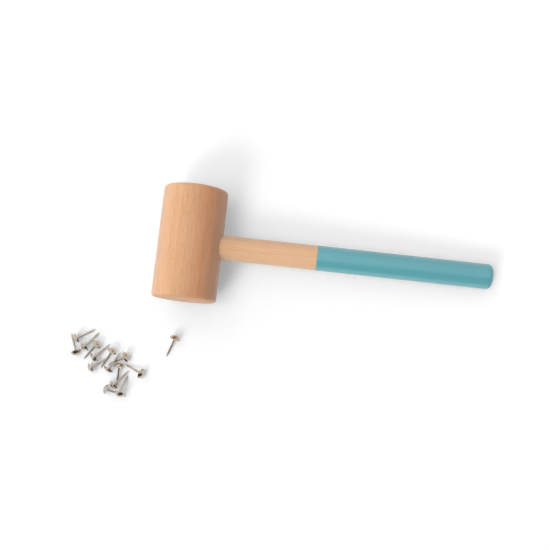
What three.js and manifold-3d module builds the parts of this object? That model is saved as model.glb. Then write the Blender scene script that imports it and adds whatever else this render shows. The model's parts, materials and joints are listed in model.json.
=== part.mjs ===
// A child's hammering game: a turned wooden mallet with a painted grip, and small dome nails.
// Millimetres, +Z up. The mallet lies on its side with its handle along +X, and its butt touches the floor.

import * as THREE from 'three';
import { mergeVertices } from 'three/addons/utils/BufferGeometryUtils.js';
import Module from 'manifold-3d';

// Mallet head, a turned cylinder whose axis lies along Y
const HEAD_DIAMETER = 40;
const HEAD_LENGTH = 69.3;
const HEAD_EDGE_ROUND = 2;
const BORE_DEPTH = 30;

// Handle, a dowel in a blind bore of the head; its reach runs from the head's axis to the painted butt
const HANDLE_DIAMETER = 15.4;
const HANDLE_REACH = 187;
const BUTT_ROUND = 3.3;
const TENON_CHAMFER = 1.2;
const GLUE_GAP = 0.1;
const BORE_END_GAP = 0.3;

// Paint on the grip; its line is measured from the head's axis
const PAINT_LINE = 78.5;
const PAINT_THICKNESS = 0.08;
const PAINT_GAP = 0.02;

// Dome nail: a stamped cap and a wire shank with a four-sided pinch point
const NAIL_LENGTH = 15.5;
const CAP_DIAMETER = 7;
const CAP_HEIGHT = 2.3;
const CAP_SHEET = 0.45;
const SHANK_DIAMETER = 1.3;
const POINT_LENGTH = 3;
const WELD_DIAMETER = 2;
const WELD_HEIGHT = 0.7;
const WELD_GAP = 0.1;

// Where the nails lie: the heap's middle from the head's near end, and the clearance of nails that cross
const HEAP_LEFT = 47;
const HEAP_BELOW_HEAD = 42.35;
const CROSSING_GAP = 0.3;

// Each nail's cap place is counted in heap units from the heap's middle, along X and Y. A unit is one cap,
// or a share of the nail's length where that is more. The shank points in degrees from +X.
// A shank that crosses another nail lies on its shank, and a cap that is propped lies on one.
const LENGTH_SHARE = 0.45;
const HEAP_UNIT = Math.max(CAP_DIAMETER, LENGTH_SHARE * NAIL_LENGTH);
const NAILS = [
  { name: 'nail_01', cap: [-2.85, 0.55], points: 116 },
  { name: 'nail_02', cap: [-2.9, 1.8], points: 33 },
  { name: 'nail_03', cap: [-2.1, 1.1], points: 54 },
  { name: 'nail_04', cap: [-1.1, 1.35], points: 232 },
  { name: 'nail_05', cap: [-1.1, 0.25], points: 48 },
  { name: 'nail_06', cap: [-1.25, -0.7], points: 37 },
  { name: 'nail_07', cap: [0.4, 0.9], points: 241, crosses: 'nail_06' },
  { name: 'nail_09', cap: [1.7, 0.55], points: 208 },
  { name: 'nail_08', cap: [0.35, -0.65], points: 62, crosses: 'nail_09' },
  { name: 'nail_10', cap: [1.25, -0.35], points: 266 },
  { name: 'nail_11', cap: [3.3, -0.75], points: 158 },
  { name: 'nail_12', cap: [0.4, -2.5], points: 346 },
  { name: 'nail_13', cap: [1.0, -2.0], points: 51, crosses: 'nail_10' },
  { name: 'nail_14', cap: [1.65, -2.7], points: 77, propped: 'nail_12' },
  { name: 'nail_15', cap: [5.95, 2.65], points: 249 },
];

// Facets
const HEAD_SIDES = 64;
const HANDLE_SIDES = 48;
const CAP_SIDES = 20;
const SHANK_SIDES = 12;
const ROUND_STEPS = 2;
const DOME_STEPS = 5;
const POINT_SIDES = 4;

const headRadius = HEAD_DIAMETER / 2;
const handleRadius = HANDLE_DIAMETER / 2;
const capRadius = CAP_DIAMETER / 2;
const shankRadius = SHANK_DIAMETER / 2;
const rimToTip = NAIL_LENGTH - CAP_HEIGHT;

const wood = new THREE.MeshStandardMaterial({ color: 0xdda67e, roughness: 0.65, metalness: 0 });
const paint = new THREE.MeshStandardMaterial({ color: 0x66a6b0, roughness: 0.4, metalness: 0 });
const nickel = new THREE.MeshStandardMaterial({ color: 0xc9c8c3, roughness: 0.18, metalness: 1 });

const wasm = await Module();
wasm.setup();

function toSolid(geometry) {
  const bare = geometry.clone();
  bare.deleteAttribute('normal');
  bare.deleteAttribute('uv');
  const merged = mergeVertices(bare, 1e-4);
  const vertProperties = new Float32Array(merged.attributes.position.array);
  const triVerts = new Uint32Array(merged.index.array);
  const mesh = new wasm.Mesh({ numProp: 3, vertProperties, triVerts });
  mesh.merge();
  return new wasm.Manifold(mesh);
}

function toGeometry(solid) {
  const mesh = solid.getMesh();
  const geometry = new THREE.BufferGeometry();
  geometry.setAttribute('position', new THREE.BufferAttribute(mesh.vertProperties, mesh.numProp));
  geometry.setIndex(new THREE.BufferAttribute(mesh.triVerts, 1));
  geometry.computeVertexNormals();
  return geometry;
}

// A solid of revolution about X from a profile drawn as (radius, place along X)
function turnedAlongX(profile, sides) {
  return new THREE.LatheGeometry(profile, sides).rotateZ(-Math.PI / 2);
}

// Slope of the handle that lets its round butt touch the floor while the head lies on it
function handleSlope() {
  const along = HANDLE_REACH - BUTT_ROUND;
  const across = handleRadius + PAINT_GAP + PAINT_THICKNESS - BUTT_ROUND;
  const fall = headRadius - BUTT_ROUND;
  return Math.asin(fall / Math.hypot(along, across)) - Math.atan2(across, along);
}

function headGeometry(slope) {
  const half = HEAD_LENGTH / 2;
  const flat = headRadius - HEAD_EDGE_ROUND;
  const straight = half - HEAD_EDGE_ROUND;
  const profile = new THREE.Path();
  profile.moveTo(0, -half);
  profile.lineTo(flat, -half);
  profile.absarc(flat, -straight, HEAD_EDGE_ROUND, -Math.PI / 2, 0);
  profile.lineTo(headRadius, straight);
  profile.absarc(flat, straight, HEAD_EDGE_ROUND, 0, Math.PI / 2);
  profile.lineTo(0, half);
  // The facet that faces the floor is level once the mallet slopes
  const turn = Math.PI / HEAD_SIDES - slope;
  const cylinder = new THREE.LatheGeometry(profile.getPoints(ROUND_STEPS), HEAD_SIDES, turn);

  const boreRadius = handleRadius + GLUE_GAP;
  const drillLength = BORE_DEPTH + headRadius;
  const drill = new THREE.CylinderGeometry(boreRadius, boreRadius, drillLength, HANDLE_SIDES);
  drill.rotateZ(-Math.PI / 2);
  drill.translate(headRadius - BORE_DEPTH + drillLength / 2, 0, 0);
  return toGeometry(toSolid(cylinder).subtract(toSolid(drill)));
}

function handleGeometry() {
  const start = headRadius - BORE_DEPTH + BORE_END_GAP;
  const end = HANDLE_REACH - PAINT_THICKNESS - PAINT_GAP;
  const round = BUTT_ROUND - PAINT_THICKNESS - PAINT_GAP;
  const profile = new THREE.Path();
  profile.moveTo(0, start);
  profile.lineTo(handleRadius - TENON_CHAMFER, start);
  profile.lineTo(handleRadius, start + TENON_CHAMFER);
  profile.lineTo(handleRadius, end - round);
  profile.absarc(handleRadius - round, end - round, round, 0, Math.PI / 2);
  profile.lineTo(0, end);
  return turnedAlongX(profile.getPoints(ROUND_STEPS), HANDLE_SIDES);
}

// The coat is a thin cup that follows the handle and its round butt
function paintGeometry() {
  const inner = handleRadius + PAINT_GAP;
  const outer = inner + PAINT_THICKNESS;
  const end = HANDLE_REACH;
  const innerEnd = end - PAINT_THICKNESS;
  const innerRound = BUTT_ROUND - PAINT_THICKNESS;
  const profile = new THREE.Path();
  profile.moveTo(0, innerEnd);
  profile.lineTo(inner - innerRound, innerEnd);
  profile.absarc(inner - innerRound, innerEnd - innerRound, innerRound, Math.PI / 2, 0, true);
  profile.lineTo(inner, PAINT_LINE);
  profile.lineTo(outer, PAINT_LINE);
  profile.lineTo(outer, end - BUTT_ROUND);
  profile.absarc(outer - BUTT_ROUND, end - BUTT_ROUND, BUTT_ROUND, 0, Math.PI / 2);
  profile.lineTo(0, end);
  return turnedAlongX(profile.getPoints(ROUND_STEPS), HANDLE_SIDES);
}

// The nail's own frame: the middle of its rim is the origin, and the shank points along +X.
// The dome is part of a sphere through the rim and the crown.
const domeRadius = (capRadius ** 2 + CAP_HEIGHT ** 2) / (2 * CAP_HEIGHT);
const domeCentre = domeRadius - CAP_HEIGHT;

// Points on a sphere about the dome's centre, from one distance off the axis to another
function domeArc(radius, from, to) {
  const points = [];
  const first = Math.asin(from / radius);
  const last = Math.asin(to / radius);
  for (let step = 0; step <= DOME_STEPS; step += 1) {
    const angle = first + ((last - first) * step) / DOME_STEPS;
    points.push(new THREE.Vector2(radius * Math.sin(angle), domeCentre - radius * Math.cos(angle)));
  }
  return points;
}

function capGeometry() {
  const innerRadius = domeRadius - CAP_SHEET;
  const innerRim = Math.sqrt(innerRadius ** 2 - domeCentre ** 2);
  const profile = [...domeArc(domeRadius, 0, capRadius), ...domeArc(innerRadius, innerRim, 0)];
  return turnedAlongX(profile, CAP_SIDES);
}

// The welded end follows the dome's underside and flares out from the wire
function shankGeometry() {
  const weldRadius = WELD_DIAMETER / 2;
  const weldTop = domeArc(domeRadius - CAP_SHEET - WELD_GAP, 0, weldRadius);
  const weldFoot = weldTop[weldTop.length - 1].y + WELD_HEIGHT;
  const profile = [
    ...weldTop,
    new THREE.Vector2(shankRadius, weldFoot),
    new THREE.Vector2(shankRadius, rimToTip),
    new THREE.Vector2(0, rimToTip),
  ];
  const wire = turnedAlongX(profile, SHANK_SIDES);

  // A pyramid with a flat side down, as wide as the wire where the point begins
  const halfSide = Math.PI / POINT_SIDES;
  const pinchLength = 2 * NAIL_LENGTH;
  const pinchRadius = (shankRadius * pinchLength) / (POINT_LENGTH * Math.cos(halfSide));
  const pinch = new THREE.ConeGeometry(pinchRadius, pinchLength, POINT_SIDES, 1, false, halfSide);
  pinch.rotateZ(-Math.PI / 2);
  pinch.translate(rimToTip - pinchLength / 2, 0, 0);
  return toGeometry(toSolid(wire).intersect(toSolid(pinch)));
}

// A nail alone on the floor rests on its rim and on its tip, or on the start of its point
const restPitch = Math.min(
  Math.atan2(capRadius, rimToTip),
  Math.atan2(capRadius - shankRadius, rimToTip - POINT_LENGTH),
);

// Height of the rim's middle when a nail that slopes down to its tip by this pitch touches the floor
function rimHeight(pitch) {
  return Math.max(
    capRadius * Math.cos(pitch),
    rimToTip * Math.sin(pitch),
    (rimToTip - POINT_LENGTH) * Math.sin(pitch) + shankRadius * Math.cos(pitch),
  );
}

// Height of a nail's axis at a distance from its rim in plan
function axisHeight(pitch, distance) {
  return rimHeight(pitch) - distance * Math.tan(pitch);
}

function shankDirection(heading, pitch) {
  const level = Math.cos(pitch);
  return new THREE.Vector3(level * Math.cos(heading), level * Math.sin(heading), -Math.sin(pitch));
}

const STEEPEST_PITCH = Math.PI / 3;
const BISECTIONS = 40;

// The angle between two others at which a test that holds at the first one stops holding
function bisect(first, last, holds) {
  let from = first;
  let to = last;
  for (let turn = 0; turn < BISECTIONS; turn += 1) {
    const middle = (from + to) / 2;
    if (holds(middle)) from = middle;
    else to = middle;
  }
  return from;
}

// Distances from both caps to the place where two nails cross in plan
function crossing(upper, lower) {
  const across = Math.sin(lower.heading - upper.heading);
  const dx = lower.x - upper.x;
  const dy = lower.y - upper.y;
  return {
    onUpper: (dx * Math.sin(lower.heading) - dy * Math.cos(lower.heading)) / across,
    onLower: (dx * Math.sin(upper.heading) - dy * Math.cos(upper.heading)) / across,
  };
}

// Distance up from the lower nail's axis to the upper one's, square to both
function axisDistance(upper, pitch, lower) {
  const square = shankDirection(upper.heading, pitch).cross(shankDirection(lower.heading, lower.pitch));
  square.normalize().multiplyScalar(Math.sign(square.z));
  const rise = rimHeight(pitch) - rimHeight(lower.pitch);
  return square.dot(new THREE.Vector3(upper.x - lower.x, upper.y - lower.y, rise));
}

// A shank that lies across another keeps its rim on the floor and its point up
function pitchAcross(upper, lower) {
  const meet = crossing(upper, lower);
  if (meet.onUpper > rimToTip || meet.onLower > rimToTip) return restPitch;
  const wanted = SHANK_DIAMETER + CROSSING_GAP;
  return bisect(-STEEPEST_PITCH, restPitch, (pitch) => axisDistance(upper, pitch, lower) >= wanted);
}

// A cap that is propped on another shank keeps its tip on the floor
function pitchPropped(upper, lower) {
  const meet = crossing(upper, lower);
  if (meet.onLower > rimToTip) return restPitch;
  const lift = (shankRadius + CROSSING_GAP) / Math.cos(restPitch);
  const wanted = axisHeight(lower.pitch, meet.onLower) + lift;
  const rimFoot = (pitch) => rimHeight(pitch) - capRadius * Math.cos(pitch);
  return bisect(restPitch, STEEPEST_PITCH, (pitch) => rimFoot(pitch) < wanted);
}

function layNails() {
  const laid = new Map();
  for (const { name, cap, points, crosses, propped } of NAILS) {
    const nail = {
      x: cap[0] * HEAP_UNIT - HEAP_LEFT,
      y: cap[1] * HEAP_UNIT - HEAD_LENGTH / 2 - HEAP_BELOW_HEAD,
      heading: THREE.MathUtils.degToRad(points),
      pitch: restPitch,
    };
    if (crosses) nail.pitch = pitchAcross(nail, laid.get(crosses));
    if (propped) nail.pitch = pitchPropped(nail, laid.get(propped));
    laid.set(name, nail);
  }
  return laid;
}

function named(name, geometry, material) {
  const mesh = new THREE.Mesh(geometry, material);
  mesh.name = name;
  return mesh;
}

function makeMallet() {
  const slope = handleSlope();
  const mallet = new THREE.Group();
  mallet.add(named('mallet_head', headGeometry(slope), wood));
  mallet.add(named('mallet_handle', handleGeometry(), wood));
  mallet.add(named('grip_paint', paintGeometry(), paint));
  mallet.rotation.y = slope;
  mallet.position.z = headRadius;
  return mallet;
}

function makeNails() {
  const nails = new THREE.Group();
  const cap = capGeometry();
  const shank = shankGeometry();
  for (const [name, { x, y, heading, pitch }] of layNails()) {
    const nail = new THREE.Group();
    nail.add(named(`${name}_cap`, cap, nickel));
    nail.add(named(`${name}_shank`, shank, nickel));
    nail.position.set(x, y, rimHeight(pitch));
    nail.rotation.set(0, pitch, heading, 'ZYX');
    nails.add(nail);
  }
  return nails;
}

// The part's origin is the middle of its footprint, on the floor
const set = new THREE.Group();
set.add(makeMallet(), makeNails());
const box = new THREE.Box3().setFromObject(set, true);
const middle = box.getCenter(new THREE.Vector3());
set.position.set(-middle.x, -middle.y, -box.min.z);

const part = new THREE.Group();
part.add(set);

export default part;
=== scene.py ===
# %% [markdown]
# # A turned mallet and its dome nails
#
# The part is a small wooden mallet with a painted grip and fifteen loose nails with hollow metal heads.
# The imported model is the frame: it says where each piece is and which body it moves with. Every visible
# surface below is modelled again, smooth and at the same size, and takes the place of its faceted solid.

# %% Load the frame
import json
import math

import bmesh
import bpy
from mathutils import Matrix, Vector

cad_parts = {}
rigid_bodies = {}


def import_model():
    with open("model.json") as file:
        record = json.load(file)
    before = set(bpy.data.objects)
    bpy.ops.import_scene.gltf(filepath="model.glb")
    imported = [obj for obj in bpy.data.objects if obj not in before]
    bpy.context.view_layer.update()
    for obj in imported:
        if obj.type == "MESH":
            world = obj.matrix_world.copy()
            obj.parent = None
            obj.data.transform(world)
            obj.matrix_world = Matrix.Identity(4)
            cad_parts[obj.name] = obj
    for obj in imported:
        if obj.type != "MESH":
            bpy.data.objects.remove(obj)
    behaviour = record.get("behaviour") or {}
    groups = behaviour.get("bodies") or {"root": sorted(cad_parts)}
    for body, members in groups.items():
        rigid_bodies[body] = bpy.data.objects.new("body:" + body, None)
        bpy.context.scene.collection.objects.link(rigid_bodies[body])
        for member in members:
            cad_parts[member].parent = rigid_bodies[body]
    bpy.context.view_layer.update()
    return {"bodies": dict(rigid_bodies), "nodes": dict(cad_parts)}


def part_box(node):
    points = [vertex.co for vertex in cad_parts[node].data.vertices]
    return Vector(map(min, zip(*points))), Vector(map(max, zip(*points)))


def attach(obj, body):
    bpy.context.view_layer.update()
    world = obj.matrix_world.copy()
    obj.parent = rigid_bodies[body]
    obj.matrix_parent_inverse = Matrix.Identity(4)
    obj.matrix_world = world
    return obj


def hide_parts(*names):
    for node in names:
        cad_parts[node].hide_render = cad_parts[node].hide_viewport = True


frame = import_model()
MM = 0.001

# %% [markdown]
# ## Camera
#
# The picture was taken from above, a little towards the butt of the handle, with a slight roll. The pose
# could be found by eye, but here it is written as a place, the point on the floor that it looks at and a
# roll, so that each value means something and can be changed by itself.

# %% Camera
CAMERA_PLACE = Vector((38.65, -46.44, 565.14)) * MM
CAMERA_AIM = Vector((-4.32, 20.46, 0)) * MM
CAMERA_ROLL = math.radians(-6.33)
CAMERA_LENS = 58.909
NEAREST_SEEN = 10 * MM


def add_camera():
    back = (CAMERA_PLACE - CAMERA_AIM).normalized()
    right = Vector((0, 1, 0)).cross(back).normalized()
    axes = Matrix((right, back.cross(right), back)).transposed()
    camera = bpy.data.objects.new("camera", bpy.data.cameras.new("camera"))
    camera.data.lens = CAMERA_LENS
    camera.data.clip_start = NEAREST_SEEN
    turn = axes.to_4x4() @ Matrix.Rotation(-CAMERA_ROLL, 4, "Z")
    camera.matrix_world = Matrix.Translation(CAMERA_PLACE) @ turn
    bpy.context.scene.collection.objects.link(camera)
    bpy.context.scene.camera = camera
    return camera


camera = add_camera()
print("camera axes", [tuple(round(x, 4) for x in row) for row in camera.matrix_world.to_3x3().transposed()])

# %% [markdown]
# ## Node helper
#
# A material or a world is a graph of nodes. One helper adds a node, sets its options and either links or
# fills its inputs, so that each finish below can be read as a list of what feeds what.


# %% Node helper
def add_node(tree, kind, inputs=None, **options):
    made = tree.nodes.new("ShaderNode" + kind)
    for name, value in options.items():
        setattr(made, name, value)
    for socket, value in (inputs or {}).items():
        if isinstance(value, bpy.types.NodeSocket):
            tree.links.new(value, made.inputs[socket])
        else:
            made.inputs[socket].default_value = value
    return made


def sum_of(tree, first, second):
    return add_node(tree, "Math", {0: first, 1: second}, operation="ADD").outputs[0]


def product_of(tree, first, second):
    return add_node(tree, "Math", {0: first, 1: second}, operation="MULTIPLY").outputs[0]


def rescaled(tree, value, low, high, new_low=0.0, new_high=1.0):
    """A value that runs smoothly from new_low to new_high while the input runs from low to high."""
    inputs = {"Value": value, "From Min": low, "From Max": high, "To Min": new_low, "To Max": new_high}
    return add_node(tree, "MapRange", inputs, interpolation_type="SMOOTHSTEP").outputs["Result"]


def blended(tree, share, first, second, how="MIX"):
    """A colour that goes from the first to the second as the share goes from 0 to 1."""
    inputs = {0: share, 6: first, 7: second}
    return add_node(tree, "Mix", inputs, data_type="RGBA", blend_type=how).outputs[2]


def srgb(red, green, blue):
    """A colour given as 0 to 255 on a screen, as the linear colour that a shader takes."""
    shares = (value / 255 for value in (red, green, blue))
    linear = [s / 12.92 if s <= 0.04045 else ((s + 0.055) / 1.055) ** 2.4 for s in shares]
    return (*linear, 1.0)


# %% [markdown]
# ## Floor
#
# The set lies on white paper. A plain diffuse floor under this light would render pale grey, so a weak glow
# lifts it to white for the camera and for mirror-like surfaces alone. The glow lights nothing else, and
# where the pieces block the lamps the paper still darkens, so the shadow stays.

# %% Floor
FLOOR_SIZE = 8.0
PAPER_COLOUR = srgb(244, 244, 244)
PAPER_GLOW = 0.25


def ray_kinds(tree):
    """Two numbers: 1 for a ray from the camera, and 1 for a ray from a reflection or through glass."""
    path = add_node(tree, "LightPath").outputs
    return path["Is Camera Ray"], sum_of(tree, path["Is Glossy Ray"], path["Is Transmission Ray"])


def add_floor():
    bm = bmesh.new()
    bmesh.ops.create_grid(bm, x_segments=1, y_segments=1, size=FLOOR_SIZE / 2)
    mesh = bpy.data.meshes.new("paper_floor")
    bm.to_mesh(mesh)
    bm.free()
    paper = bpy.data.materials.new("white_paper")
    paper.use_nodes = True
    tree = paper.node_tree
    tree.nodes.clear()
    from_camera, in_mirror = ray_kinds(tree)
    seen = add_node(tree, "Math", {0: from_camera, 1: in_mirror}, operation="MAXIMUM").outputs[0]
    matte = add_node(tree, "BsdfDiffuse", {"Color": PAPER_COLOUR})
    glow = add_node(tree, "Emission", {"Strength": product_of(tree, seen, PAPER_GLOW)})
    both = add_node(tree, "AddShader", {0: matte.outputs[0], 1: glow.outputs[0]})
    add_node(tree, "OutputMaterial", {"Surface": both.outputs[0]})
    mesh.materials.append(paper)
    floor = bpy.data.objects.new("paper_floor", mesh)
    bpy.context.scene.collection.objects.link(floor)
    return floor


floor = add_floor()
print("floor", tuple(round(x, 2) for x in floor.dimensions))

# %% [markdown]
# ## Light
#
# The shadows tell how the set was lit: a key at the lower left draws the long soft shadow, a broad softbox
# stands above the left, and the pale ceiling and walls fill in from the other sides. Sun lamps with a wide
# angle stand in for them, because they light the whole floor evenly, which area lamps would not. They stay
# out of reflections, where a sun would be a hard white disc. There the room itself is seen: white, with one
# dark side, because bright metal on white paper needs something dark to mirror. The lamps are only sampled
# directly, because scattered rays pass through the pieces (see the last step) and would let a wide
# sun shine through them.

# %% Light
LAMPS = {
    "key": {"azimuth": 244, "elevation": 40, "width": 25, "share": 0.205},
    "softbox": {"azimuth": 198, "elevation": 68, "width": 32, "share": 0.23},
    "ceiling": {"azimuth": 0, "elevation": 90, "width": 70, "share": 0.13},
    "north_west_wall": {"azimuth": 137, "elevation": 22, "width": 64, "share": 0.11},
    "north_wall": {"azimuth": 80, "elevation": 40, "width": 70, "share": 0.085},
    "south_west_wall": {"azimuth": 225, "elevation": 16, "width": 50, "share": 0.055},
}
WHITE = (1, 1, 1, 1)
ROOM_LEVEL = 0.09
ROOM_DARK = 0.08
DARK_SIDE = Vector((0.33, -0.89, 0.31)).normalized()
DARK_BEGINS = 0.46
DARK_FULL = 0.80


def add_sun(name, azimuth, elevation, width, share):
    """A sun whose share is the brightness that it gives to white paper on the floor."""
    turn, rise = math.radians(azimuth), math.radians(elevation)
    source = Vector((math.cos(turn) * math.cos(rise), math.sin(turn) * math.cos(rise), math.sin(rise)))
    lamp = bpy.data.objects.new(name, bpy.data.lights.new(name, "SUN"))
    lamp.data.energy = share * math.pi / math.sin(rise)
    lamp.data.angle = math.radians(width)
    lamp.matrix_world = source.to_track_quat("Z", "Y").to_matrix().to_4x4()
    lamp.visible_glossy = False
    lamp.data.cycles.use_multiple_importance_sampling = False
    bpy.context.scene.collection.objects.link(lamp)
    return lamp


def add_room():
    room = bpy.data.worlds.new("white_room")
    room.use_nodes = True
    tree = room.node_tree
    tree.nodes.clear()
    from_camera, in_mirror = ray_kinds(tree)
    heading = add_node(tree, "TexCoord").outputs["Generated"]
    towards = add_node(tree, "VectorMath", {0: heading, 1: DARK_SIDE}, operation="DOT_PRODUCT")
    mirrored = rescaled(tree, towards.outputs["Value"], DARK_BEGINS, DARK_FULL, 1.0, ROOM_DARK)
    lit = blended(tree, in_mirror, (ROOM_LEVEL,) * 3 + (1,), mirrored)
    seen = blended(tree, from_camera, lit, WHITE)
    sky = add_node(tree, "Background", {"Color": seen})
    add_node(tree, "OutputWorld", {"Surface": sky.outputs[0]})
    bpy.context.scene.world = room


lamps = [add_sun(name, **facts) for name, facts in LAMPS.items()]
add_room()
bpy.context.scene.view_settings.view_transform = "Standard"
floor_light = ROOM_LEVEL + sum(facts["share"] for facts in LAMPS.values())
print(len(lamps), "lamps, light on the floor", round(floor_light, 3))

# %% [markdown]
# ## Measuring the frame
#
# Each turned piece has an axis, two ends and a radius. A faceted solid's corners are spread evenly round
# its axis, so their mean lies on it. With a point on the axis and a direction, the corners give the rest:
# how far they reach along the axis, and how far off it.


# %% Measuring the frame
def corners(node):
    return [vertex.co.copy() for vertex in frame["nodes"][node].data.vertices]


def middle_of(points):
    return sum(points, Vector()) / len(points)


def reach_along(points, origin, direction):
    places = [(point - origin).dot(direction) for point in points]
    return min(places), max(places)


def widest_from(points, origin, direction):
    return max((point - origin).cross(direction).length for point in points)


head_low, head_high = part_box("mallet_head")
head_middle = (head_low + head_high) / 2
head_radius = (head_high.z - head_low.z) / 2
head_length = head_high.y - head_low.y
handle_way = (middle_of(corners("mallet_handle")) - head_middle).normalized()
handle_start, handle_end = reach_along(corners("mallet_handle"), head_middle, handle_way)
handle_radius = widest_from(corners("mallet_handle"), head_middle, handle_way)
paint_start, paint_end = reach_along(corners("grip_paint"), head_middle, handle_way)
paint_radius = widest_from(corners("grip_paint"), head_middle, handle_way)
print("head", [round(x / MM, 3) for x in (head_radius * 2, head_length)])
print("handle", [round(x / MM, 3) for x in (handle_radius * 2, handle_start, handle_end)])
print("paint", [round(x / MM, 3) for x in (paint_radius * 2, paint_start, paint_end)])
print("slope in degrees", round(math.degrees(math.asin(-handle_way.z)), 3))

# %% [markdown]
# ## Tools for turned pieces
#
# A lathe makes round pieces from a rod, and so can bmesh: a disc is extruded to a rod, and the edges round
# its ends are bevelled. That serves the head, the dowel and the coat. The cap and the wire of a nail are no
# plain rods, so they are spun from a drawn half section. All are made along Z and then laid along their axis.

# %% Tools for turned pieces
WELD_DISTANCE = 1e-7
SHARP_ANGLE = math.radians(35)


def start_rod(radius, length, sides):
    """A closed rod along Z, from the origin."""
    bm = bmesh.new()
    bmesh.ops.create_circle(bm, cap_ends=True, radius=radius, segments=sides)
    grown = bmesh.ops.extrude_face_region(bm, geom=bm.faces[:], use_keep_orig=True)
    top = [item for item in grown["geom"] if isinstance(item, bmesh.types.BMVert)]
    bmesh.ops.translate(bm, verts=top, vec=(0, 0, length))
    bmesh.ops.recalc_face_normals(bm, faces=bm.faces[:])
    return bm


def spin_section(section, sides):
    """A closed round shape about Z, from the radius and height of each point of its half section."""
    bm = bmesh.new()
    points = [bm.verts.new((radius, 0, height)) for radius, height in section]
    lines = [bm.edges.new(pair) for pair in zip(points, points[1:])]
    bmesh.ops.spin(bm, geom=points + lines, cent=(0, 0, 0), axis=(0, 0, 1), dvec=(0, 0, 0),
                   angle=2 * math.pi, steps=sides, use_merge=True)
    bmesh.ops.remove_doubles(bm, verts=bm.verts[:], dist=WELD_DISTANCE)
    bmesh.ops.recalc_face_normals(bm, faces=bm.faces[:])
    return bm


def ring_at(bm, height):
    """The edges that lie at one height."""
    return [edge for edge in bm.edges if all(abs(v.co.z - height) < WELD_DISTANCE for v in edge.verts)]


def corners_at(bm, height):
    """The corners among the edges at one height, without those inside a flat face."""
    return [edge for edge in ring_at(bm, height) if edge.calc_face_angle(0) > SHARP_ANGLE]


def round_edges(bm, edges, size, segments):
    bmesh.ops.bevel(bm, geom=edges, offset=size, offset_type="OFFSET", segments=segments, profile=0.5,
                    affect="EDGES", material=-1, clamp_overlap=True)


def laid_along(origin, direction):
    """The matrix that takes Z to a direction, with X level, and the origin to a point."""
    level = Vector((0, 0, 1)).cross(direction).normalized()
    axes = Matrix((level, direction.cross(level), direction)).transposed()
    return Matrix.Translation(origin) @ axes.to_4x4()


def to_piece(bm, name, place):
    """Makes an object of the mesh, with its place in its vertices."""
    bmesh.ops.transform(bm, matrix=place, verts=bm.verts[:])
    bmesh.ops.remove_doubles(bm, verts=bm.verts[:], dist=WELD_DISTANCE)
    bmesh.ops.recalc_face_normals(bm, faces=bm.faces[:])
    for face in bm.faces:
        face.smooth = True
    mesh = bpy.data.meshes.new(name)
    bm.to_mesh(mesh)
    bm.free()
    mesh.set_sharp_from_angle(angle=SHARP_ANGLE)
    piece = bpy.data.objects.new(name, mesh)
    bpy.context.scene.collection.objects.link(piece)
    return piece


def say(piece):
    size = [round(x / MM, 2) for x in piece.dimensions]
    print(piece.name, "faces", len(piece.data.polygons), "size", size)


# %% [markdown]
# ## Mallet head
#
# The head is turned from one block, so it is a rod with rounded rims. Its side gets rings of edges along the
# length, because the bore that is cut next leaves cleaner shading among small faces than among long ones.

# %% Mallet head
HEAD_EDGE_ROUND = 2 * MM
HEAD_SIDES = 192
HEAD_RINGS = 33
HEAD_ROUND_STEPS = 8


def turn_head():
    bm = start_rod(head_radius, head_length, HEAD_SIDES)
    for height in (0, head_length):
        round_edges(bm, ring_at(bm, height), HEAD_EDGE_ROUND, HEAD_ROUND_STEPS)
    long_edges = [edge for edge in bm.edges if edge.calc_length() > head_length / 2]
    bmesh.ops.subdivide_edges(bm, edges=long_edges, cuts=HEAD_RINGS, use_grid_fill=True)
    near_end = Vector((head_middle.x, head_low.y, head_middle.z))
    return to_piece(bm, "turned_head", laid_along(near_end, Vector((0, 1, 0))))


head = turn_head()
say(head)

# %% [markdown]
# ## Bore for the handle
#
# The dowel sits in a blind hole, drilled square to the head's axis. A Boolean modifier subtracts the drill,
# and its result becomes the head's mesh, so no cutter stays in the scene. The mouth of the hole is eased by
# a fine bevel, as sandpaper leaves it, which draws the thin line round the joint.

# %% Bore for the handle
GLUE_GAP = 0.1 * MM
BORE_END_GAP = 0.3 * MM
MOUTH_EASE = 1.0 * MM
MOUTH_STEPS = 2
BORE_SIDES = 96
BORE_SLACK = 1.01


def drill_head():
    radius = handle_radius + GLUE_GAP
    bottom = handle_start - BORE_END_GAP
    bm = start_rod(radius, 2 * head_radius, BORE_SIDES)
    drill = to_piece(bm, "drill", laid_along(head_middle + handle_way * bottom, handle_way))
    cut = head.modifiers.new("bore", "BOOLEAN")
    cut.object = drill
    cut.operation = "DIFFERENCE"
    cut.solver = "EXACT"
    graph = bpy.context.evaluated_depsgraph_get()
    bored = bpy.data.meshes.new_from_object(head.evaluated_get(graph))
    head.modifiers.clear()
    head.data = bored
    bpy.data.objects.remove(drill)


def ease_mouth():
    bm = bmesh.new()
    bm.from_mesh(head.data)
    limit = (handle_radius + GLUE_GAP) * BORE_SLACK
    mouth = []
    for edge in bm.edges:
        off_axis = max((v.co - head_middle).cross(handle_way).length for v in edge.verts)
        outside = min((v.co - head_middle).dot(handle_way) for v in edge.verts) > head_radius / 2
        if off_axis < limit and outside and edge.calc_face_angle(0) > SHARP_ANGLE:
            mouth.append(edge)
    round_edges(bm, mouth, MOUTH_EASE, MOUTH_STEPS)
    bmesh.ops.dissolve_degenerate(bm, dist=WELD_DISTANCE, edges=bm.edges[:])
    for face in bm.faces:
        face.smooth = True
    bm.to_mesh(head.data)
    bm.free()
    head.data.set_sharp_from_angle(angle=SHARP_ANGLE)
    return len(mouth)


drill_head()
print("mouth edges", ease_mouth())
say(head)

# %% [markdown]
# ## Handle
#
# The handle is a length of dowel. Its hidden end has a chamfer that lets it start in the bore, and its free
# end is rounded over under the paint.

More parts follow.
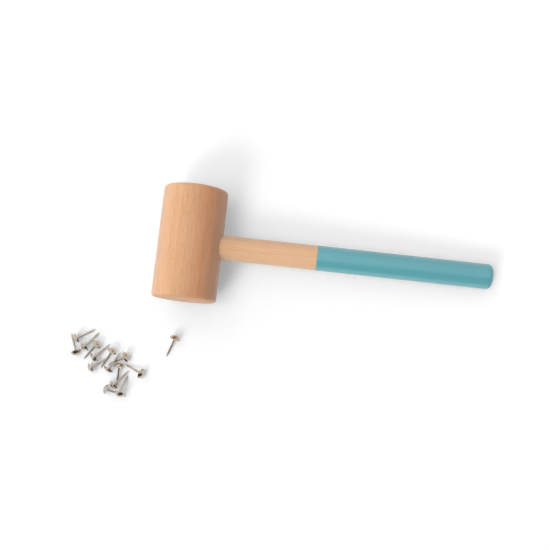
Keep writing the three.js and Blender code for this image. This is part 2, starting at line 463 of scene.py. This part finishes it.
# %% Handle
TENON_CHAMFER = 1.2 * MM
BUTT_ROUND = 3.2 * MM
HANDLE_SIDES = 96
BUTT_STEPS = 10


def cut_handle():
    length = handle_end - handle_start
    bm = start_rod(handle_radius, length, HANDLE_SIDES)
    round_edges(bm, ring_at(bm, 0), TENON_CHAMFER, segments=1)
    round_edges(bm, ring_at(bm, length), BUTT_ROUND, BUTT_STEPS)
    return to_piece(bm, "dowel_handle", laid_along(head_middle + handle_way * handle_start, handle_way))


handle = cut_handle()
say(handle)

# %% [markdown]
# ## Painted grip
#
# The grip is dipped or sprayed up to a line of masking tape, so the coat is a thin cup over the butt. A rod
# with a round end loses its flat open face and gets a wall with solidify, and the lip at the tape line is
# rounded, because wet paint draws back from an edge.

# %% Painted grip
PAINT_THICKNESS = 0.08 * MM
COAT_ROUND = 3.3 * MM
LIP_ROUND = 0.035 * MM
LIP_STEPS = 3


def coat_grip():
    length = paint_end - paint_start
    bm = start_rod(paint_radius, length, HANDLE_SIDES)
    round_edges(bm, ring_at(bm, length), COAT_ROUND, BUTT_STEPS)
    open_end = [face for face in bm.faces if face.calc_center_median().z < WELD_DISTANCE]
    bmesh.ops.delete(bm, geom=open_end, context="FACES")
    bmesh.ops.recalc_face_normals(bm, faces=bm.faces[:])
    bmesh.ops.solidify(bm, geom=bm.faces[:], thickness=PAINT_THICKNESS)
    round_edges(bm, corners_at(bm, 0), LIP_ROUND, LIP_STEPS)
    return to_piece(bm, "teal_coat", laid_along(head_middle + handle_way * paint_start, handle_way))


coat = coat_grip()
say(coat)
coat_reach = reach_along([vertex.co for vertex in coat.data.vertices], head_middle, handle_way)
print("coat reaches", [round(x / MM, 3) for x in coat_reach])

# %% [markdown]
# ## Where each nail lies
#
# A nail has its own axis, from the middle of its cap to the tip of its shank. Both can be read from the
# frame: the cap's corners have their mean on the axis, and the tip is the corner of the shank that is
# farthest from it. The nail's rim, crown and radius then follow by projection, and the dome's sphere follows
# from its radius and height. A round rim reaches a hair farther than a faceted one between its corners, so a
# few microns come off both.

# %% Where each nail lies
CAP_TRIM = 0.006 * MM


def nail_place(name):
    cap_points = corners(name + "_cap")
    inside = middle_of(cap_points)
    tip = max(corners(name + "_shank"), key=lambda point: (point - inside).length)
    way = (tip - inside).normalized()
    crown, rim = reach_along(cap_points, inside, way)
    cap_radius = widest_from(cap_points, inside, way) - CAP_TRIM
    cap_height = rim - crown - CAP_TRIM
    dome_radius = (cap_radius ** 2 + cap_height ** 2) / (2 * cap_height)
    return {
        "frame": laid_along(inside + way * rim, way),
        "dome_radius": dome_radius,
        "dome_centre": dome_radius - cap_height,
        "tip": (tip - inside).length - rim,
    }


nail_names = sorted(body for body in frame["bodies"] if body.startswith("nail"))
nails = {name: nail_place(name) for name in nail_names}
sample = nails[nail_names[0]]
print(len(nails), "nails", {key: round(sample[key] / MM, 3) for key in ("dome_radius", "dome_centre", "tip")})

# %% [markdown]
# ## Nail caps
#
# A cap is stamped from thin sheet into a shallow hollow dome. Its half section is two arcs about one centre,
# the outside and the inside of the sheet, and they end in the rim's plane. One spin makes the dome with its
# even wall. A fine bevel takes the edge off the rim, where the plating always looks rounded and bright.

# %% Nail caps
CAP_SHEET = 0.45 * MM
RIM_EASE = 0.09 * MM
RIM_STEPS = 3
CAP_SIDES = 64
ARC_STEPS = 24


def dome_arc(radius, centre, half_angle):
    """The lowest part of a circle as radius and height, from the axis outwards."""
    angles = [half_angle * step / ARC_STEPS for step in range(ARC_STEPS + 1)]
    return [(radius * math.sin(angle), centre - radius * math.cos(angle)) for angle in angles]


def stamp_cap(name):
    nail = nails[name]
    centre = nail["dome_centre"]
    walls = (nail["dome_radius"], nail["dome_radius"] - CAP_SHEET)
    outside, inside = (dome_arc(radius, centre, math.acos(centre / radius)) for radius in walls)
    bm = spin_section(outside + inside[::-1], CAP_SIDES)
    round_edges(bm, corners_at(bm, 0), RIM_EASE, RIM_STEPS)
    return to_piece(bm, name + "_dome", nail["frame"])


caps = {name: stamp_cap(name) for name in nail_names}
say(caps[nail_names[0]])

# %% [markdown]
# ## Nail shanks
#
# A shank is a piece of wire. One end is welded under the crown, where the metal spreads to a small foot, and
# the other is pinched to a four-sided point. The foot follows the inside of the crown and is drawn in to the
# wire. The point is made as the tool makes it: four slanted planes cut the wire, and each cut is filled.

# %% Nail shanks
SHANK_RADIUS = 0.65 * MM
WELD_RADIUS = 1.0 * MM
WELD_HEIGHT = 0.7 * MM
WELD_GAP = 0.01 * MM
WELD_STEPS = 5
POINT_LENGTH = 3 * MM
WIRE_SIDES = 32
SPARE_WIRE = 1 * MM
NUDGE = 1e-9


def pinch(bm, tip):
    """Cuts the wire by four planes that meet at the tip."""
    for across in (Vector((1, 0, 0)), Vector((0, 1, 0)), Vector((-1, 0, 0)), Vector((0, -1, 0))):
        slant = (across * POINT_LENGTH + Vector((0, 0, SHANK_RADIUS))).normalized()
        everything = [*bm.verts, *bm.edges, *bm.faces]
        cut = bmesh.ops.bisect_plane(bm, geom=everything, dist=NUDGE, plane_co=(0, 0, tip), plane_no=slant,
                                     clear_outer=True)
        open_edges = [item for item in cut["geom_cut"] if isinstance(item, bmesh.types.BMEdge)]
        bmesh.ops.edgeloop_fill(bm, edges=open_edges)


def draw_shank(name):
    nail = nails[name]
    under = nail["dome_radius"] - CAP_SHEET - WELD_GAP
    weld = dome_arc(under, nail["dome_centre"], math.asin(WELD_RADIUS / under))
    neck = weld[-1][1] + WELD_HEIGHT
    end = nail["tip"] + SPARE_WIRE
    bm = spin_section(weld + [(SHANK_RADIUS, neck), (SHANK_RADIUS, end), (0, end)], WIRE_SIDES)
    round_edges(bm, ring_at(bm, neck), WELD_HEIGHT / 2, WELD_STEPS)
    pinch(bm, nail["tip"])
    return to_piece(bm, name + "_wire", nail["frame"])


shanks = {name: draw_shank(name) for name in nail_names}
say(shanks[nail_names[0]])

# %% [markdown]
# ## Tools for finishes
#
# No real surface has one flat colour or one gloss. Wood, paint and plate vary in patches, lines and grain,
# and noise gives them all: stretched in one direction it makes fibres and scratches, and left round it makes
# clouds. It is laid out on Object coordinates in millimetres, so that it stays with the piece.

# %% Tools for finishes
NOISE_BAND = (0.3, 0.7)
NOISE_ROUGHNESS = 0.55


def stretched(tree, vector, sizes, detail=2.0):
    """Noise whose blotches have these sizes, in the units of the vector."""
    shares = [1 / size for size in sizes]
    scaled = add_node(tree, "VectorMath", {0: vector, 1: shares}, operation="MULTIPLY").outputs[0]
    inputs = {"Vector": scaled, "Scale": 1.0, "Detail": detail, "Roughness": NOISE_ROUGHNESS}
    return add_node(tree, "TexNoise", inputs).outputs["Fac"]


def start_material(name):
    made = bpy.data.materials.new(name)
    made.use_nodes = True
    tree = made.node_tree
    shader = tree.nodes["Principled BSDF"]
    return made, tree, shader


def grain_space(tree, origin, turn):
    """Object coordinates in millimetres, with X along the grain."""
    place = add_node(tree, "TexCoord").outputs["Object"]
    inputs = {"Vector": place, "Location": origin, "Rotation": turn, "Scale": (MM, MM, MM)}
    return add_node(tree, "Mapping", inputs, vector_type="TEXTURE").outputs[0]


def add_relief(tree, shader, height, strength, depth):
    relief = add_node(tree, "Bump", {"Height": height, "Strength": strength, "Distance": depth})
    tree.links.new(relief.outputs[0], shader.inputs["Normal"])


# %% [markdown]
# ## Beech
#
# Beech is pale and even, with faint growth rings and thousands of short brown flecks, which are rays: thin
# sheets of cells that run out from the pith. Both are functions of the distance and the angle round the pith,
# so the texture works in those coordinates. One recipe then gives fine dashes on one side of the head, broad
# flecks on the next and spokes on the end grain, as cutting through a real log does. The wood is redder and
# darker near the pith, which lies off the head's side away from the lamps, so that tint is partly heartwood
# and partly painted shade. Turned sides have a faint bloom at a slant, where tiny fibres stand up; cut ends
# have not.

# %% Beech
RING_SWAY = 5.0
SWAY_SIZES = (70, 22, 22)
LATE_WOOD = (0.25, 0.92)
LATE_WOOD_STOPS = (0.99, 0.93)
RAY_SIZES = (1.7, 0.42, 5)
RAY_EDGE = (0.42, 0.16)
CROWD_SIZES = (14, 5, 5)
CROWD_BAND = (0.35, 0.65)
CROWD_SHARES = (0.7, 1.0)
FLECK_SHARE = 0.15
STREAK_SIZES = (150, 5, 5)
STREAK_SHARE = 0.55
CLOUD_SIZES = (46, 17, 17)
CLOUD_SHARE = 0.45
FIBRE_SIZES = (9, 0.3, 0.3)
BROAD_TONES = (0.12, 0.62)
LATE_TONE = 0.1
FIBRE_TONES = (-0.2, 0.26)
# Heartwood colour and painted shade: this tint darkens and reddens the wood near the pith, which on the head
# is its side away from the lamps.
HEART_AND_SHADE_TINT = (1.0, 0.84, 0.77, 1.0)
END_DEPTHS = (0.9, 0.1)
END_SHADES = (0.0, 0.12)
WOOD_ROUGHNESS = (0.48, 0.62)
RAY_ROUGHNESS = -0.06
RAY_HEIGHT = -0.5
WOOD_RELIEF = (0.35, 0.05 * MM)
SHEEN_ROUGHNESS = 0.5


def beech(name, origin, turn, pith, ring_width, colours, half_length, heart_and_shade, sheen):
    """Beech whose pith runs beside the piece. All lengths but the origin and half_length are millimetres."""
    pale, deep, fleck = colours
    made, tree, shader = start_material(name)
    grain = grain_space(tree, origin, turn)
    from_pith = add_node(tree, "VectorMath", {0: grain, 1: (0, *pith)}, operation="SUBTRACT").outputs[0]
    along, first, second = add_node(tree, "SeparateXYZ", {0: from_pith}).outputs
    flat = add_node(tree, "CombineXYZ", {1: first, 2: second}).outputs[0]
    radius = add_node(tree, "VectorMath", {0: flat}, operation="LENGTH").outputs["Value"]
    angle = add_node(tree, "Math", {0: second, 1: first}, operation="ARCTAN2").outputs[0]
    around = product_of(tree, angle, math.hypot(*pith))

    sway = product_of(tree, stretched(tree, grain, SWAY_SIZES), RING_SWAY)
    rings_out = product_of(tree, sum_of(tree, radius, sway), 1 / ring_width)
    ring = add_node(tree, "Math", {0: rings_out}, operation="FRACT").outputs[0]
    late = product_of(tree, rescaled(tree, ring, *LATE_WOOD), rescaled(tree, ring, *LATE_WOOD_STOPS))

    ray_space = add_node(tree, "CombineXYZ", {0: along, 1: around, 2: radius}).outputs[0]
    ray_cells = add_node(tree, "VectorMath", {0: ray_space, 1: RAY_SIZES}, operation="DIVIDE").outputs[0]
    ray_distance = add_node(tree, "TexVoronoi", {"Vector": ray_cells, "Scale": 1.0}).outputs["Distance"]
    crowding = rescaled(tree, stretched(tree, grain, CROWD_SIZES), *CROWD_BAND, *CROWD_SHARES)
    rays = product_of(tree, rescaled(tree, ray_distance, *RAY_EDGE), crowding)

    streaks = product_of(tree, stretched(tree, grain, STREAK_SIZES, detail=1.5), STREAK_SHARE)
    clouds = product_of(tree, stretched(tree, grain, CLOUD_SIZES), CLOUD_SHARE)
    fibres = stretched(tree, grain, FIBRE_SIZES, detail=3.0)
    tone = rescaled(tree, sum_of(tree, streaks, clouds), *NOISE_BAND, *BROAD_TONES)
    tone = sum_of(tree, tone, product_of(tree, late, LATE_TONE))
    tone = sum_of(tree, tone, rescaled(tree, fibres, *NOISE_BAND, *FIBRE_TONES))
    colour = blended(tree, tone, pale, deep)
    colour = blended(tree, product_of(tree, rays, FLECK_SHARE), colour, fleck)
    # Painted shade in part: the tint near the pith makes the head's side away from the lamps darker and
    # redder.
    colour = blended(tree, rescaled(tree, radius, heart_and_shade[1], heart_and_shade[0]), colour, HEART_AND_SHADE_TINT, "MULTIPLY")
    from_middle = add_node(tree, "Math", {0: along}, operation="ABSOLUTE").outputs[0]
    end_band = [half_length / MM - depth for depth in END_DEPTHS]
    colour = blended(tree, rescaled(tree, from_middle, *end_band, *END_SHADES), colour, deep, "MULTIPLY")
    tree.links.new(colour, shader.inputs["Base Color"])

    dull = rescaled(tree, fibres, *NOISE_BAND, *WOOD_ROUGHNESS)
    dull = sum_of(tree, dull, product_of(tree, rays, RAY_ROUGHNESS))
    tree.links.new(dull, shader.inputs["Roughness"])
    add_relief(tree, shader, sum_of(tree, fibres, product_of(tree, rays, RAY_HEIGHT)), *WOOD_RELIEF)
    shader.inputs["Sheen Weight"].default_value = sheen
    shader.inputs["Sheen Roughness"].default_value = SHEEN_ROUGHNESS
    return made


# %% [markdown]
# ## Two boards of beech
#
# The head and the handle come from different boards, so each has its own pith, ring width and colours. The
# cut ends of the head are the same wood without the bloom. They could share one material with a mask, but a
# second material keeps the sheen a plain number.

# %% Two boards of beech
SIDE_SHEEN = 0.5
END_SHEEN = 0.05
HEAD_COLOURS = (srgb(236, 188, 145), srgb(214, 155, 112), srgb(158, 103, 68))
HANDLE_COLOURS = (srgb(245, 200, 158), srgb(225, 169, 125), srgb(178, 118, 79))
handle_slope = math.asin(-handle_way.z)
handle_middle = head_middle + handle_way * (handle_start + handle_end) / 2
# The head's pith lies off its side away from the lamps, so the tint near it is partly painted shade.
head_grain = {
    "origin": head_middle, "turn": (0, 0, math.pi / 2), "half_length": head_length / 2,
    "pith": (-34, 21), "ring_width": 2.6, "heart_and_shade": (22, 33), "colours": HEAD_COLOURS,
}
handle_grain = {
    "origin": handle_middle, "turn": (0, handle_slope, 0), "half_length": (handle_end - handle_start) / 2,
    "pith": (19, -31), "ring_width": 1.7, "heart_and_shade": (8, 16), "colours": HANDLE_COLOURS,
}
head_wood = beech("head_beech", sheen=SIDE_SHEEN, **head_grain)
head_ends = beech("head_end_grain", sheen=END_SHEEN, **head_grain)
handle_wood = beech("handle_beech", sheen=SIDE_SHEEN, **handle_grain)
print("woods", head_wood.name, handle_wood.name)

# %% [markdown]
# ## Teal paint
#
# The coat is satin paint over sanded wood. A single colour with one gloss would look like plastic, so the
# grain telegraphs through as faint lengthwise lines, the pigment clouds a little, and the surface has the
# shallow orange peel that a sprayed coat dries with.

# %% Teal paint
TEAL = (srgb(94, 168, 178), srgb(104, 177, 186))
LINE_SIZES = (60, 0.7, 0.7)
PIGMENT_SIZES = (60, 16, 16)
PEEL_SIZES = (1.5, 1.1, 1.1)
PAINT_TONE_BAND = (0.15, 0.85)
PAINT_GLOSS_BAND = (0.2, 0.8)
PAINT_ROUGHNESS = (0.16, 0.22)
PEEL_HEIGHT = 0.7
LINE_HEIGHT = 0.6
PAINT_RELIEF = (0.3, 0.03 * MM)
PAINT_SPECULAR = 0.85


def satin_paint():
    made, tree, shader = start_material("teal_paint")
    grain = grain_space(tree, handle_middle, (0, handle_slope, 0))
    lines = stretched(tree, grain, LINE_SIZES, detail=3.0)
    clouds = stretched(tree, grain, PIGMENT_SIZES, detail=1.0)
    peel = stretched(tree, grain, PEEL_SIZES, detail=1.0)
    tone = product_of(tree, sum_of(tree, lines, clouds), 0.5)
    tree.links.new(blended(tree, rescaled(tree, tone, *PAINT_TONE_BAND), *TEAL), shader.inputs["Base Color"])
    dull = rescaled(tree, clouds, *PAINT_GLOSS_BAND, *PAINT_ROUGHNESS)
    tree.links.new(dull, shader.inputs["Roughness"])
    height = sum_of(tree, product_of(tree, peel, PEEL_HEIGHT), product_of(tree, lines, LINE_HEIGHT))
    add_relief(tree, shader, height, *PAINT_RELIEF)
    shader.inputs["Specular IOR Level"].default_value = PAINT_SPECULAR
    return made


paint = satin_paint()
print("paint", paint.name)

# %% [markdown]
# ## Nickel plate
#
# The nails are bright nickel over steel. Tumbled together in a box they pick up fine scratches and a slightly
# uneven shine, so noise varies the roughness and a faint bump breaks up the reflections.

# %% Nickel plate
NICKEL = (srgb(184, 171, 157), srgb(200, 189, 175))
TARNISH_SIZES = (2.2, 2.2, 2.2)
SCRATCH_SIZES = (0.9, 0.12, 0.12)
SCRATCH_BAND = (0.55, 0.8)
NICKEL_ROUGHNESS = (0.12, 0.18)
SCRATCH_ROUGHNESS = (0.0, 0.1)
NICKEL_RELIEF = (0.12, 0.01 * MM)


def nickel_plate():
    made, tree, shader = start_material("bright_nickel")
    place = add_node(tree, "TexCoord").outputs["Object"]
    space = add_node(tree, "Mapping", {"Vector": place, "Scale": (1 / MM,) * 3}).outputs[0]
    clouds = stretched(tree, space, TARNISH_SIZES)
    scratches = stretched(tree, space, SCRATCH_SIZES, detail=3.0)
    tree.links.new(blended(tree, rescaled(tree, clouds, *NOISE_BAND), *NICKEL), shader.inputs["Base Color"])
    shine = rescaled(tree, clouds, *NOISE_BAND, *NICKEL_ROUGHNESS)
    dull = sum_of(tree, shine, rescaled(tree, scratches, *SCRATCH_BAND, *SCRATCH_ROUGHNESS))
    tree.links.new(dull, shader.inputs["Roughness"])
    add_relief(tree, shader, scratches, *NICKEL_RELIEF)
    shader.inputs["Metallic"].default_value = 1.0
    return made


nickel = nickel_plate()
print("plate", nickel.name)

# %% [markdown]
# ## Bodies and slots
#
# Each piece takes its finish, stands for its solid and moves with that solid's body: the mallet is one body,
# and every nail is its own, because each can be picked up by itself. The cut ends of the head take the end
# grain. The paper's shadows are neutral in the picture, so the pieces throw no coloured light on it.

# %% Bodies and slots
END_BAND = 0.2 * MM


def settle(piece, body, node, material):
    piece.data.materials.clear()
    piece.data.materials.append(material)
    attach(piece, body)
    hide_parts(node)
    piece.visible_diffuse = False


settle(head, "mallet", "mallet_head", head_wood)
head.data.materials.append(head_ends)
for face in head.data.polygons:
    face.material_index = int(abs(face.center.y - head_middle.y) > head_length / 2 - END_BAND)
print("end grain on", sum(face.material_index for face in head.data.polygons), "faces")
settle(handle, "mallet", "mallet_handle", handle_wood)
settle(coat, "mallet", "grip_paint", paint)
for name in nail_names:
    settle(caps[name], name, name + "_cap", nickel)
    settle(shanks[name], name, name + "_shank", nickel)
